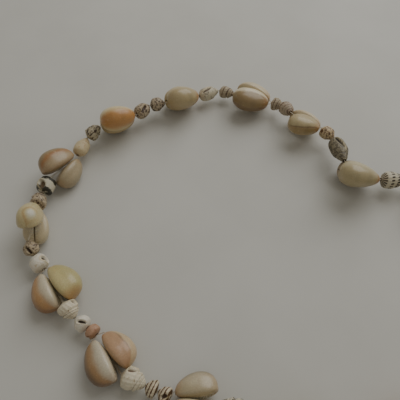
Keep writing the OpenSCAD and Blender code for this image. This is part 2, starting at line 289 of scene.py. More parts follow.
def along(i):
    return turn(2, PAIRS[i][HEADING])[:, 0]


def outward(i):
    return -turn(2, PAIRS[i][HEADING])[:, 1]


def in_gap(i):
    return [strung for strung in STRUNG if strung[PAIR] == i]


def gap_point(i, t):
    """A point of the Bezier curve from a pair to the next."""
    a, b = string_out(i), string_in(after(i))
    reach, bow = norm(b - a) / 3, PAIRS[i][BOW]
    p1 = a + reach * along(i) + bow * outward(i)
    p2 = b - reach * along(after(i)) + bow * outward(after(i))
    return (1 - t) ** 3 * a + 3 * (1 - t) ** 2 * t * p1 + 3 * (1 - t) * t * t * p2 + t**3 * b


def gap_joints(i):
    """Where the string bends: it sags until the shells beside a joint rest, or as far as it can."""
    strung = in_gap(i)
    shares = [shell[SHARE] for shell in strung]
    high = (string_out(i)[2] + string_in(after(i))[2]) / 2
    joints = []
    for k in range(len(strung) + 1):
        p = gap_point(i, sum(shares[:k]) / sum(shares))
        if 0 < k < len(strung):
            rest = max(strung[k - 1][WIDTH], strung[k][WIDTH]) / 2 + FLOOR_GAP
            p[2] = max(rest, SAG * high)
        joints.append(p)
    return joints


JOINTS = [gap_joints(i) for i in range(len(PAIRS))]


def end_space(i, k):
    """How far the ends of the small shells stand back from a joint."""
    joints = JOINTS[i]
    if k in (0, len(joints) - 1):
        return END_GAP + PAIR_SHOULDER
    bend = math.acos(unit(joints[k] - joints[k - 1]) @ unit(joints[k + 1] - joints[k]))
    return END_GAP + SHOULDER * math.tan(bend / 2)


# Meshes
def put_field(mesh, key, values):
    values = np.asarray(values, np.float32)
    kind, part = ("FLOAT_VECTOR", "vector") if values.ndim == 2 else ("FLOAT", "value")
    mesh.attributes.new(key, kind, "POINT").data.foreach_set(part, values.ravel())


def shade_smooth(mesh):
    mesh.polygons.foreach_set("use_smooth", [True] * len(mesh.polygons))
    mesh.update()


def mesh_from(name, points, faces, fields=None):
    mesh = bpy.data.meshes.new(name)
    mesh.from_pydata(np.asarray(points).tolist(), [], faces)
    for key, values in (fields or {}).items():
        put_field(mesh, key, values)
    shade_smooth(mesh)
    return mesh


def linked(name, data):
    made = bpy.data.objects.new(name, data)
    bpy.context.scene.collection.objects.link(made)
    return made


def vertices_of(mesh):
    points = np.zeros(len(mesh.vertices) * 3)
    mesh.vertices.foreach_get("co", points)
    return points.reshape(-1, 3)


def belt(rings, sides, first=0, closed=False):
    """Quads between neighbouring rings."""
    faces = []
    for i in range(rings if closed else rings - 1):
        here, ahead = first + i * sides, first + (i + 1) % rings * sides
        for j in range(sides):
            beside = (j + 1) % sides
            faces.append((here + j, here + beside, ahead + beside, ahead + j))
    return faces


def spline(rows, q, closed):
    """Catmull-Rom curve through the rows, at the places q, counted in rows."""
    rows = np.asarray(rows, float)
    count = len(rows)
    k = np.floor(q).astype(int)
    if closed:
        p = [rows[(k + n) % count] for n in (-1, 0, 1, 2)]
    else:
        k = np.minimum(k, count - 2)
        p = [rows[np.clip(k + n, 0, count - 1)] for n in (-1, 0, 1, 2)]
    t = (q - k)[:, None]
    return 0.5 * (
        2 * p[1]
        + (p[2] - p[0]) * t
        + (2 * p[0] - 5 * p[1] + 4 * p[2] - p[3]) * t**2
        + (3 * p[1] - p[0] - 3 * p[2] + p[3]) * t**3
    )


# Octaves of the lumps, waves in each, how much narrower and lower each octave is, and the phases' range
LUMP_OCTAVES = 3
LUMP_WAVES = 4
LUMP_NARROWER = 1.8
LUMP_LOWER = 1.7
LUMP_PHASES = 6.28


def lumps(points, seed, size):
    """Smooth random field between about -1 and 1; size is the width of its widest lumps."""
    rng = np.random.default_rng(seed)
    value = np.zeros(points.shape[:-1])
    for octave in range(LUMP_OCTAVES):
        for _ in range(LUMP_WAVES):
            way = unit(rng.normal(size=3)) * 2 * np.pi / size * LUMP_NARROWER**octave
            value += np.sin(points @ way + rng.uniform(0, LUMP_PHASES)) / LUMP_WAVES / LUMP_LOWER**octave
    return value


# Cowries
COWRIE_ROWS = 96
# How far the rows are drawn from a cowrie's ends to its middle
EVENING = 0.35
# Places around a cowrie count the rows of its section, from 0 on the ridge over 8 in the mouth to 16.
# Dome, margin and base of one half, each: first place, last place, columns
MOUTH_Q = 8
COLUMN_RUNS = ((0, 4, 22), (4, 6, 8), (6, MOUTH_Q, 18))
HALF_Q = np.concatenate([np.linspace(*run, endpoint=False) for run in COLUMN_RUNS])
ROUND_Q = np.concatenate([HALF_Q, [MOUTH_Q], 2 * MOUTH_Q - HALF_Q[:0:-1]])
OFF_MOUTH = np.abs(ROUND_Q - MOUTH_Q)
OFF_RIDGE = MOUTH_Q - OFF_MOUTH
IN_MOUTH = OFF_MOUTH < 1
OUTER_LIP = ROUND_Q < MOUTH_Q
# The mouth's depth, the most it takes of the shell's height, and how full it stays at its ends
GROOVE_DEPTH = 3.0
GROOVE_SHARE = 0.5
GROOVE_FULLNESS = 0.45
# Teeth along a whole cowrie, their shift along it, and their slant on the outer and the inner lip
TEETH = 13.78
TOOTH_START = 0.13
TOOTH_SLANTS = (0.1872, -0.156)
# Height of a tooth, how slim its crest is, and the share of its height that goes into the lip
TOOTH_HEIGHT = 0.42
TOOTH_SLIMNESS = 1.4
TOOTH_LEVEL = 0.45
# Where the teeth come in inside the mouth, end beyond the outer and the inner lip, and run along the shell
TEETH_INSIDE = (0.35, 0.95)
TOOTH_REACHES = (1.25, 0.95)
TEETH_ENDS = ((0.05, 0.13), (0.9, 0.97))
# Where the dome meets the margin in a step, and how wide it is
STEP_Q = 2.9
STEP_WIDTH = 0.42
# Unevenness as a share of the shell's size, the width of a lump, and the place around where they end
LUMP_SHARE = 0.012
LUMP_SIZE = 17
LUMPS_END_Q = 5
BORE_SIDES = 20
COWRIE_SEED = 40


def cowrie_name(i, side):
    return f"cowrie_{i + 1:02d}_{'left' if side > 0 else 'right'}"


def cowrie_section():
    """The solid's section in more columns, with a plain slope from the lips into the mouth."""
    section = spline(SECTION, ROUND_Q, True)
    section[IN_MOUTH, 0] = LIP * (MOUTH_Q - ROUND_Q[IN_MOUTH])
    section[IN_MOUTH, 2] = LIP_BULGE
    return section


def groove(pair, side, angles):
    """How far the mouth goes up into the shell."""
    most = GROOVE_SHARE * back_height(pair, side, angles)
    depth = np.minimum(GROOVE_DEPTH * np.sin(angles) ** GROOVE_FULLNESS, most)
    return depth[:, None] * np.where(IN_MOUTH, 1 - OFF_MOUTH**3, 0)


def teeth(share):
    """Height of the teeth, which run from the lips onto the base, a little longer on the outer lip."""
    outside = 1 - smooth(0, np.where(OUTER_LIP, *TOOTH_REACHES), OFF_MOUTH - 1)
    window = np.where(IN_MOUTH, smooth(*TEETH_INSIDE, OFF_MOUTH), outside)
    turns = TEETH * share + np.where(OUTER_LIP, *TOOTH_SLANTS) * OFF_MOUTH + TOOTH_START
    crests = (0.5 + 0.5 * np.cos(2 * np.pi * turns)) ** TOOTH_SLIMNESS
    return TOOTH_HEIGHT * (crests - TOOTH_LEVEL) * window * between(share, *TEETH_ENDS)


def cowrie_mesh(name, pair, side, seed, step):
    """A cowrie in its own frame, in millimetres: domed back, thick margins, toothed mouth, notched ends."""
    length = length_of(pair, side)
    v = np.arange(1, COWRIE_ROWS + 1) / (COWRIE_ROWS + 1)
    angles = np.pi * (v + EVENING * np.sin(2 * np.pi * v) / (2 * np.pi))
    grid = cowrie_grid(pair, side, angles, cowrie_section())
    share = grid[:, :, 0] / length
    grid[:, :, 2] += groove(pair, side, angles) - teeth(share)
    middle = np.stack([grid[:, :, 0], 0 * share, END_RISE + 0 * share], 2)
    uneven = LUMP_SHARE * lumps(grid, seed, LUMP_SIZE) * (OFF_RIDGE < LUMPS_END_Q)
    size = 1 - step * bell(OFF_RIDGE, STEP_Q, STEP_WIDTH) + uneven
    grid = middle + (grid - middle) * size[:, :, None]
    points = np.concatenate([[[0, 0, END_RISE]], grid.reshape(-1, 3), [[length, 0, END_RISE]]])
    sides = len(ROUND_Q)
    last = COWRIE_ROWS * sides + 1
    faces = [(0, 1 + (j + 1) % sides, 1 + j) for j in range(sides)]
    faces += belt(COWRIE_ROWS, sides, 1)
    faces += [(last, last - sides + j, last - sides + (j + 1) % sides) for j in range(sides)]
    return mesh_from(name, points, faces)


def bore_cutter():
    """The drilled hole of every cowrie, in the cowrie's frame."""
    across = np.array([0.0, 1, 0])
    up = np.cross(unit(BORE_END - BORE_START), across)
    a = 2 * np.pi * np.arange(BORE_SIDES)[:, None] / BORE_SIDES
    ring = COWRIE_BORE_D / 2 * (np.cos(a) * across + np.sin(a) * up)
    faces = belt(2, BORE_SIDES)
    faces += [tuple(range(BORE_SIDES - 1, -1, -1)), tuple(range(BORE_SIDES, 2 * BORE_SIDES))]
    points = np.concatenate([BORE_START + ring, BORE_END + ring])
    return linked("bore_cutter", mesh_from("bore_cutter", points, faces))


def drill(piece, cutter):
    cut = piece.modifiers.new("bore", "BOOLEAN")
    cut.operation = "DIFFERENCE"
    cut.solver = "MANIFOLD"
    cut.object = cutter
    graph = bpy.context.evaluated_depsgraph_get()
    mesh = bpy.data.meshes.new_from_object(piece.evaluated_get(graph))
    piece.modifiers.clear()
    piece.data = mesh


# Least distance from the ends, as a share of the length, and least half width for a cowrie's fields
END_SHARE = 1e-4
LEAST_WIDTH = 0.05
# Lowest point of the dome, as a share of the back's height
DOME_START = 0.06


def put_cowrie_fields(mesh, pair, side):
    """What a cowrie's colours follow.

    dome runs from 0 in the middle of the back over 1 at the rim to 2 in the middle of the base, lift from
    -1 to 1 around the back, and along from the narrow end to the wide one. local is the place in mm.
    """
    local = vertices_of(mesh)
    share = np.clip(local[:, 0] / length_of(pair, side), END_SHARE, 1 - END_SHARE)
    angle = np.arccos(1 - 2 * share)
    back = back_height(pair, side, angle)
    rise = END_RISE * (1 - np.sin(angle))
    off = 2 * share - 1
    across = np.clip(local[:, 1] / np.maximum(half_width(pair, side, angle), LEAST_WIDTH), -1, 1)
    out = np.sqrt(off**2 + (1 - off**2) * across**2)
    around = np.arctan2(-side * across, np.maximum(local[:, 2] - rise, 0) / back)
    put_field(mesh, "dome", np.where(local[:, 2] > rise + DOME_START * back, out, 2 - out))
    put_field(mesh, "lift", around / (np.pi / 2))
    put_field(mesh, "along", share)
    put_field(mesh, "local", local)


def finish_piece(piece, node):
    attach(piece, "root")
    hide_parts(node)


def cowrie_piece(i, side, cutter, step):
    pair, node = PAIRS[i], cowrie_name(i, side)
    seed = COWRIE_SEED + 2 * i + (side > 0)
    piece = linked(node + "_shell", cowrie_mesh(node, pair, side, seed, step))
    drill(piece, cutter)
    mesh = piece.data
    put_cowrie_fields(mesh, pair, side)
    points = placed(i, in_pair(pair, side, vertices_of(mesh))) * MM
    mesh.vertices.foreach_set("co", points.ravel())
    shade_smooth(mesh)
    finish_piece(piece, node)
    return piece


# Small shells
# Rings from the mouth end to the tip, as in the part's source: share of the length, share of the radius
WHELK_RINGS = [[0.06, 0.54], [0.16, 0.92], [0.34, 1], [0.5, 0.95], [0.58, 0.8], [0.69, 0.82]]
WHELK_RINGS += [[0.81, 0.62], [0.93, 0.4]]
DOVE_RINGS = [[0.06, 0.55], [0.19, 0.91], [0.42, 1], [0.62, 0.94], [0.73, 0.76], [0.92, 0.44]]
NERITE_RINGS = [[0.05, 0.62], [0.2, 0.95], [0.5, 1], [0.78, 0.92], [0.95, 0.62]]
RINGS = [WHELK_RINGS, DOVE_RINGS, NERITE_RINGS]
SMALL_ROWS = 58
SMALL_COLUMNS = 62
# How far the rows are drawn to the ends, and the points of the outline that they are read from
SMALL_EVENING = 0.45
OUTLINE_POINTS = 400
# Relief of each kind, in shares of the length and the radius: the first suture, where the spire would end,
# how much whorls shrink, depth of the suture, swell between sutures, ribs and their height, cords per whorl
# and their height, and the mouth's middle, half length, half angle in degrees and depth
RELIEF = "first end shrink suture swell ribs rib_height cords cord_height mouth half_mouth half_angle deep"
Relief = namedtuple("Relief", RELIEF)
RELIEFS = [
    Relief(0.5, 1.03, 0.6, 0.085, 0.05, 15, 0.05, 3, 0.016, 0.3, 0.21, 26, 0.42),
    Relief(0.62, 1.04, 0.58, 0.055, 0.03, 0, 0, 0, 0, 0.34, 0.29, 17, 0.36),
    Relief(0.74, 1.06, 0.55, 0.045, 0.02, 0, 0, 4, 0.012, 0.33, 0.24, 34, 0.46),
]
SUTURE_WIDTH = 0.11
# Where the spire comes in, in whorls, where it fades out along the shell, and the least that is left of it
SPIRE_RISE = (-0.75, -0.15)
SPIRE_FALL = (0.93, 0.99)
SPIRE_LEAST = 0.001
# Where the ribs come in and fade out, and how far they lean in each whorl, in radians
RIBS_ENDS = ((0.03, 0.16), (0.86, 0.98))
RIB_LEAN = 2.2
RIB_SLIMNESS = 1.3
RIB_LEVEL = 0.6
# The mouth is an oval with its edge at 1, which slants by these degrees and has a lip on one side
MOUTH_SLANT = 56
MOUTH_EDGE = (0.62, 1.0)
LIP_PLACE = 1.12
LIP_WIDTH = 0.16
LIP_SIDE = (0.6, -0.4)
LIP_HEIGHT = 0.07
# Unevenness as a share of the radius, the width of a lump, and the least radius as a share of GROUND_R
WOBBLE = 0.02
WOBBLE_SIZE = 7
LEAST_SHARE = 0.98
# How far the rounded ends stand out, their rings from the wall to the hole, and the rings in the hole
END_BULGE = 0.12
END_STEPS = (0.3, 0.6, 1.0)
BORE_STEPS = (0.8, 0.6, 0.4, 0.2)


def ring_at(x, radius, a):
    """Points about X at the angles a."""
    return np.stack([x + 0 * a, radius * np.cos(a), radius * np.sin(a)], -1)


def outline(kind, ground, t):
    """Share of the radius at the places t along a small shell."""
    rows = np.array([[0, ground]] + RINGS[kind] + [[1, ground]])
    curve = spline(rows, np.linspace(0, len(rows) - 1, OUTLINE_POINTS), False)
    order = np.argsort(curve[:, 0])
    return np.maximum(np.interp(t, curve[order, 0], curve[order, 1]), ground)


def whorls(relief, t, a):
    """Whorls from the first suture, which lies where their number is whole."""
    left = np.maximum(relief.end - t, SPIRE_LEAST) / (relief.end - relief.first)
    return np.log(left) / math.log(relief.shrink) + a / (2 * np.pi)


def mouth_fields(relief, t, a):
    """How far a point is inside the mouth, and how far on its lip."""
    turned = a + 2 * np.pi * np.round(-a / (2 * np.pi)) + math.radians(MOUTH_SLANT) * (t - relief.mouth)
    off = turned / math.radians(relief.half_angle)
    oval = np.sqrt(((t - relief.mouth) / relief.half_mouth) ** 2 + off**2)
    return 1 - smooth(*MOUTH_EDGE, oval), bell(oval, LIP_PLACE, LIP_WIDTH) * smooth(*LIP_SIDE, off)


def shell_fields(relief, t, a):
    """The pattern of a small shell's surface, which its relief and its colours follow, and its swell."""
    whorl = whorls(relief, t, a)
    spire = smooth(*SPIRE_RISE, whorl) * (1 - smooth(*SPIRE_FALL, t))
    opening, lip = mouth_fields(relief, t, a)
    ribbed = relief.ribs > 0
    fields = {
        "along": t + 0 * whorl,
        "groove": bell(np.abs(whorl - np.round(whorl)), 0, SUTURE_WIDTH) * spire,
        "axial": 0.5 + 0.5 * ribbed * np.cos(relief.ribs * a + RIB_LEAN * whorl),
        "spiral": 0.5 + 0.5 * np.cos(2 * np.pi * max(relief.cords, 2) * whorl),
        "mouth": opening,
        "lip": lip,
    }
    return fields, np.sin(np.pi * (whorl - np.floor(whorl))) * spire


def carved(relief, fields, swell, t):
    """The relief as a share of the radius."""
    ribs = relief.rib_height * (fields["axial"] ** RIB_SLIMNESS - RIB_LEVEL)
    cords = relief.cord_height * (fields["spiral"] - 0.5)
    size = 1 - relief.suture * fields["groove"] + relief.swell * swell
    size = size + between(t, *RIBS_ENDS) * (ribs + cords)
    return size * (1 - relief.deep * fields["mouth"]) + LIP_HEIGHT * fields["lip"]


def rounded_end(x, way, a):
    """Rings from the wall over the rounded end into the drilled hole."""
    bore = SMALL_BORE_D / 2
    rings = []
    for step in END_STEPS:
        radius = mix(bore, GROUND_R, 0.5 + 0.5 * math.cos(np.pi * step))
        rings.append(ring_at(x + way * END_BULGE * math.sin(np.pi * step), radius, a))
    return rings


def small_shell_mesh(name, kind, length, radius, seed):
    """A small snail shell drilled along its length, in its own frame: mouth end at 0, spire along X."""
    even = np.linspace(0, 1, SMALL_ROWS)
    t = mix(even, (1 - np.cos(np.pi * even)) / 2, SMALL_EVENING)[:, None]
    a = -2 * np.pi * np.arange(SMALL_COLUMNS)[None, :] / SMALL_COLUMNS
    fields, swell = shell_fields(RELIEFS[kind], t, a)
    share = outline(kind, GROUND_R / radius, t)
    uneven = 1 + WOBBLE * lumps(ring_at(t * length, share * radius, a), seed, WOBBLE_SIZE)
    r = np.maximum(radius * share * carved(RELIEFS[kind], fields, swell, t) * uneven, GROUND_R * LEAST_SHARE)
    x = length * (t + WHORL_LEAN * 4 * t * (1 - t) * np.cos(a))
    inner = [ring_at(length * step, SMALL_BORE_D / 2, a[0]) for step in BORE_STEPS]
    rings = list(ring_at(x, r, a)) + rounded_end(length, 1, a[0]) + inner + rounded_end(0, -1, a[0])[::-1]
    points = np.concatenate(rings)
    # In the hole the fields are 0, and the mouth's dark colour goes on there as painted shade
    extra = (len(rings) - SMALL_ROWS) * SMALL_COLUMNS
    for key, values in fields.items():
        fields[key] = np.concatenate([values.ravel(), np.full(extra, float(key == "mouth"))])
    return mesh_from(name, points, belt(len(rings), SMALL_COLUMNS, closed=True), {**fields, "local": points})


def along_line(a, b):
    """Turns X to the way from a to b."""
    d = b - a
    slope = math.asin(d[2] / norm(d))
    return turn(2, math.degrees(math.atan2(d[1], d[0]))) @ turn(1, -math.degrees(slope))


def small_shell_piece(i, k, seed):
    shell = in_gap(i)[k]
    mouth, tip = k + shell[AHEAD], k + 1 - shell[AHEAD]
    a, b = JOINTS[i][mouth], JOINTS[i][tip]
    length = norm(b - a) - end_space(i, mouth) - end_space(i, tip)
    name = f"small_shell_{i + 1:02d}_{k + 1}"
    mesh = small_shell_mesh(name, shell[KIND], length, shell[WIDTH] / 2, seed)
    turned = vertices_of(mesh) @ turn(0, shell[TURN]).T + [end_space(i, mouth), 0, 0]
    points = turned @ along_line(a, b).T + a
    mesh.vertices.foreach_set("co", (points * MM).ravel())
    mesh.update()
    piece = linked(name, mesh)
    slot = "ribbed_shell" if shell[KIND] == WHELK else "smooth_shell"
    finish_piece(piece, slot + "s")
    return piece


# Thread
TWIST_PITCH = 1.7
STRAND_STEP = 0.34
STRAND_COLUMNS = 7
# A strand's corner is rounded from this far before it, or this share of the stretch, in so many steps
BEND_CUT = 0.8
BEND_SHARE = 0.4
BEND_STEPS = 5
# A two-ply thread's mean radius, and how far it goes up and down from that, as shares of half its width
PLY_LEVEL = 0.9
PLY_DEPTH = 0.12
NEARLY_UP = np.array([0.03, 0.02, 1.0])
# The knot is a trefoil of thick thread about the string: its thread and twist, and as shares of its size
# its half length and how far it sways in and out
KNOT_THREAD_R = 0.42
KNOT_PITCH = 1.1
KNOT_COLUMNS = 12
KNOT_STEP = 0.12
KNOT_POINTS = 160
KNOT_HALF_LENGTH = 0.672
KNOT_SWAY = 0.36


def on_bore(x):
    return mix(BORE_START, BORE_END, (x - BORE_START[0]) / (BORE_END[0] - BORE_START[0]))


def joint_run(i, k):
    joints = JOINTS[i]
    last = len(joints) - 1
    before = joints[k - 1] if k > 0 else placed(i, [pair_middle(PAIRS[i]), 0, 0])
    ahead = joints[k + 1] if k < last else 2 * joints[last] - joints[last - 1]
    return unit(unit(ahead - joints[k]) + unit(joints[k] - before))


def joint_across(i, k):
    """From the middle of the string to the left strand, at a joint."""
    run = joint_run(i, k)
    roll = mix(PAIRS[i][ROLL], PAIRS[after(i)][ROLL], k / (len(JOINTS[i]) - 1))
    return square_to(turn(2, math.degrees(math.atan2(run[1], run[0]))) @ turn(0, roll) @ [0, 1, 0], run)


def strand_route(side):
    """Corners of a strand, which passes each pair through the cowrie on its own side."""
    route = []
    off = side * STRAND_SPACING / 2
    for i, pair in enumerate(PAIRS):
        for x in (BEND_IN, BEND_OUT):
            route.append(placed(i, in_pair(pair, side, on_bore(x))))
        route.append(placed(i, [pair_middle(pair), off, 0]))
        for k in range(len(JOINTS[i])):
            route.append(JOINTS[i][k] + off * joint_across(i, k))
    return np.array(route)


def rounded(route):
    """The closed route with its corners rounded."""
    points = []
    for n, here in enumerate(route):
        before, ahead = route[n - 1], route[(n + 1) % len(route)]
        shorter = min(norm(here - before), norm(ahead - here))
        cut = min(BEND_CUT, BEND_SHARE * shorter)
        a, b = here + cut * unit(before - here), here + cut * unit(ahead - here)
        for s in range(BEND_STEPS + 1):
            t = s / BEND_STEPS
            points.append((1 - t) ** 2 * a + 2 * (1 - t) * t * here + t * t * b)
    return np.array(points)


def even_steps(points, step):
    """The same closed route in even steps, and how far along each point lies."""
    loop = np.concatenate([points, points[:1]])
    far = np.concatenate([[0], np.cumsum(norm(np.diff(loop, axis=0), axis=1))])
    at = np.linspace(0, far[-1], int(far[-1] / step), endpoint=False)
    return np.stack([np.interp(at, far, loop[:, axis]) for axis in range(3)], 1), at


def tube(name, points, at, radius, pitch, columns):
    """A two-ply twisted thread along a closed route."""
    count = len(points)
    run = np.roll(points, -1, 0) - np.roll(points, 1, 0)
    run /= norm(run, axis=1)[:, None]
    up = np.zeros_like(points)
    up[0] = square_to(NEARLY_UP, run[0])
    for n in range(1, count):
        up[n] = square_to(up[n - 1], run[n])
    across = np.cross(up, run)
    a = 2 * np.pi * np.arange(columns)[None, :] / columns
    ply = np.cos(2 * (a - 2 * np.pi * at[:, None] / pitch))
    r = radius * (PLY_LEVEL + PLY_DEPTH * ply)
    way = np.cos(a)[:, :, None] * up[:, None, :] + np.sin(a)[:, :, None] * across[:, None, :]
    rings = points[:, None, :] + r[:, :, None] * way
    faces = belt(count, columns, closed=True)
    # ply runs from 0 in the grooves between the plies to 1 on their crests and carries the thread's painted
    # shade
    return mesh_from(name, rings.reshape(-1, 3) * MM, faces, {"ply": (0.5 + 0.5 * ply).ravel()})


def strand_piece(side):
    node = "thread_left" if side > 0 else "thread_right"
    points, at = even_steps(rounded(strand_route(side)), STRAND_STEP)
    piece = linked(node + "_strand", tube(node, points, at, STRAND_D / 2, TWIST_PITCH, STRAND_COLUMNS))
    finish_piece(piece, node)
    return piece


def knot_ends():
    """The joints on both sides of the knot."""
    for i in range(len(PAIRS)):
        for k, strung in enumerate(in_gap(i)):
            if strung[KIND] == KNOT:
                return JOINTS[i][k : k + 2]


def knot_piece():
    """An overhand knot of doubled thread, where the strands are tied."""
    a, b = knot_ends()
    t = np.linspace(0, 2 * np.pi, KNOT_POINTS, endpoint=False)
    size = KNOT_D / 2 - KNOT_THREAD_R
    out = (1 - KNOT_SWAY + KNOT_SWAY * np.cos(3 * t)) * size
    knot = ring_at(KNOT_HALF_LENGTH * size * np.sin(3 * t), out, 2 * t)
    points, at = even_steps(knot @ along_line(a, b).T + (a + b) / 2, KNOT_STEP)
    mesh = tube("thread_knot", points, at, KNOT_THREAD_R, KNOT_PITCH, KNOT_COLUMNS)
    piece = linked("thread_knot_tied", mesh)
    finish_piece(piece, "thread_knot")
    return piece


# Materials
def srgb(triple):
    """Linear colour of an sRGB triple from 0 to 255."""
    shares = np.array(triple) / 255
    linear = np.where(shares <= 0.04045, shares / 12.92, ((shares + 0.055) / 1.055) ** 2.4)
    return (*linear.tolist(), 1.0)


def darker(colour, share):
    return [c * share for c in colour]


# What all surfaces share: light goes 1.5 mm in, the reds furthest
SURFACE = {"IOR": 1.5, "Coat Roughness": 0.15}
SURFACE.update({"Subsurface Radius": (1.0, 0.6, 0.4), "Subsurface Scale": 1.5 * MM})
BUMP_DEPTH = 0.2 * MM


class Graph:
    """Short names for the shader nodes in use."""

    def __init__(self, name):
        self.material = bpy.data.materials.new(name)
        self.material.use_nodes = True
        self.tree = self.material.node_tree
        self.tree.nodes.clear()

    def put(self, socket, value):
        if isinstance(value, bpy.types.NodeSocket):
            self.tree.links.new(value, socket)
        else:
            socket.default_value = value

    def node(self, kind, inputs=(), **settings):
        made = self.tree.nodes.new("ShaderNode" + kind)
        for key, value in settings.items():
            setattr(made, key, value)
        for key, value in dict(inputs).items():
            self.put(made.inputs[key], value)
        return made

    def field(self, name, output="Fac"):
        return self.node("Attribute", attribute_name=name).outputs[output]

    def math(self, operation, a, b=0.0):
        return self.node("Math", {0: a, 1: b}, operation=operation).outputs[0]

    def add(self, a, b):
        return self.math("ADD", a, b)

    def less(self, a, b):
        return self.math("SUBTRACT", a, b)

    def times(self, a, b):
        return self.math("MULTIPLY", a, b)

    def apart(self, a, b):
        return self.math("ABSOLUTE", self.less(a, b))

    def ratio_squared(self, a, b):
        return self.math("POWER", self.math("ABSOLUTE", self.math("DIVIDE", a, b)), 2.0)

    def range(self, value, low, high, to_low=0.0, to_high=1.0):
        """Runs softly from to_low to to_high, while the value runs from low to high."""
        inputs = {0: value, 1: low, 2: high, 3: to_low, 4: to_high}
        return self.node("MapRange", inputs, interpolation_type="SMOOTHSTEP").outputs[0]

    def mix(self, factor, a, b, blend="MIX"):
        return self.node("Mix", {0: factor, 6: a, 7: b}, data_type="RGBA", blend_type=blend).outputs[2]

    def over(self, colour, factor, shade, blend="MIX"):
        """The colour with a shade laid over it, which is given as an sRGB triple."""
        return self.mix(factor, colour, srgb(shade), blend)

    def noise(self, vector, scale, detail=2.0, rough=0.5, distortion=0.0):
        inputs = {"Vector": vector, "Scale": scale, "Detail": detail, "Roughness": rough}
        return self.node("TexNoise", {**inputs, "Distortion": distortion}).outputs[0]

    def local(self, seed, stretch=(1, 1, 1)):
        """Place in the shell's own frame, moved at random so that no two shells have the same spots."""
        place = tuple(float(v) for v in np.random.default_rng(seed).uniform(-50, 50, 3))
        inputs = {"Vector": self.field("local", "Vector"), "Location": place, "Scale": stretch}
        return self.node("Mapping", inputs).outputs[0]

    def finish(self, colour, roughness, height, bump, subsurface=0.0, coat=0.0):
        normal = self.node("Bump", {"Height": height, "Strength": bump, "Distance": BUMP_DEPTH}).outputs[0]
        own = {"Base Color": colour, "Roughness": roughness, "Normal": normal}
        depths = {"Subsurface Weight": subsurface, "Coat Weight": coat}
        shader = self.node("BsdfPrincipled", {**SURFACE, **own, **depths})
        self.node("OutputMaterial", {"Surface": shader.outputs[0]})
        return self.material


# Colours of the cowries as sRGB triples
WHITE = (240, 232, 214)
CREAM = (228, 212, 178)
ORANGE = (206, 124, 52)
PEARL = (212, 214, 204)
AMBER = (200, 130, 66)
BROWN_LINE = (112, 76, 42)
EYE_RIM = (190, 146, 90)
CHALK = (228, 214, 184)
GRIME = (120, 92, 60)
AGED = (240, 239, 231)
BAND_DARKNESS = 0.72


def painted(middle, above, below=(200, 178, 140), margin=CREAM, **others):
    """Look of a cowrie.

    The back's colours meet at hi and lo, counted from -1 at the lower margin to 1 at the upper one, over a
    width of soft and slanting by slant. They are partly the shell's own colour zones and partly painted
    light: in most looks above is lighter as a painted highlight on the upper side, and below is darker as
    painted shade on the lower side. The margin and its ring start at the value at, which is 0 in the
    middle and 1 at the rim. The strengths in _k are those of the ring, the line at hi, the bands across, and
    the tint of either end. step is the height of the margin's step, eye the place of an eye along and around
    the back and its radius either way.
    """
    plain = dict(hi=0.6, lo=-0.6, soft=0.2, at=0.8, ring=ORANGE, ring_k=0, line_k=0, slant=0, band_k=0.2)
    plain.update(narrow_k=0.3, wide_k=0.15, step=0.02, eye=None)
    return dict(plain, middle=middle, above=above, below=below, margin=margin, **others)
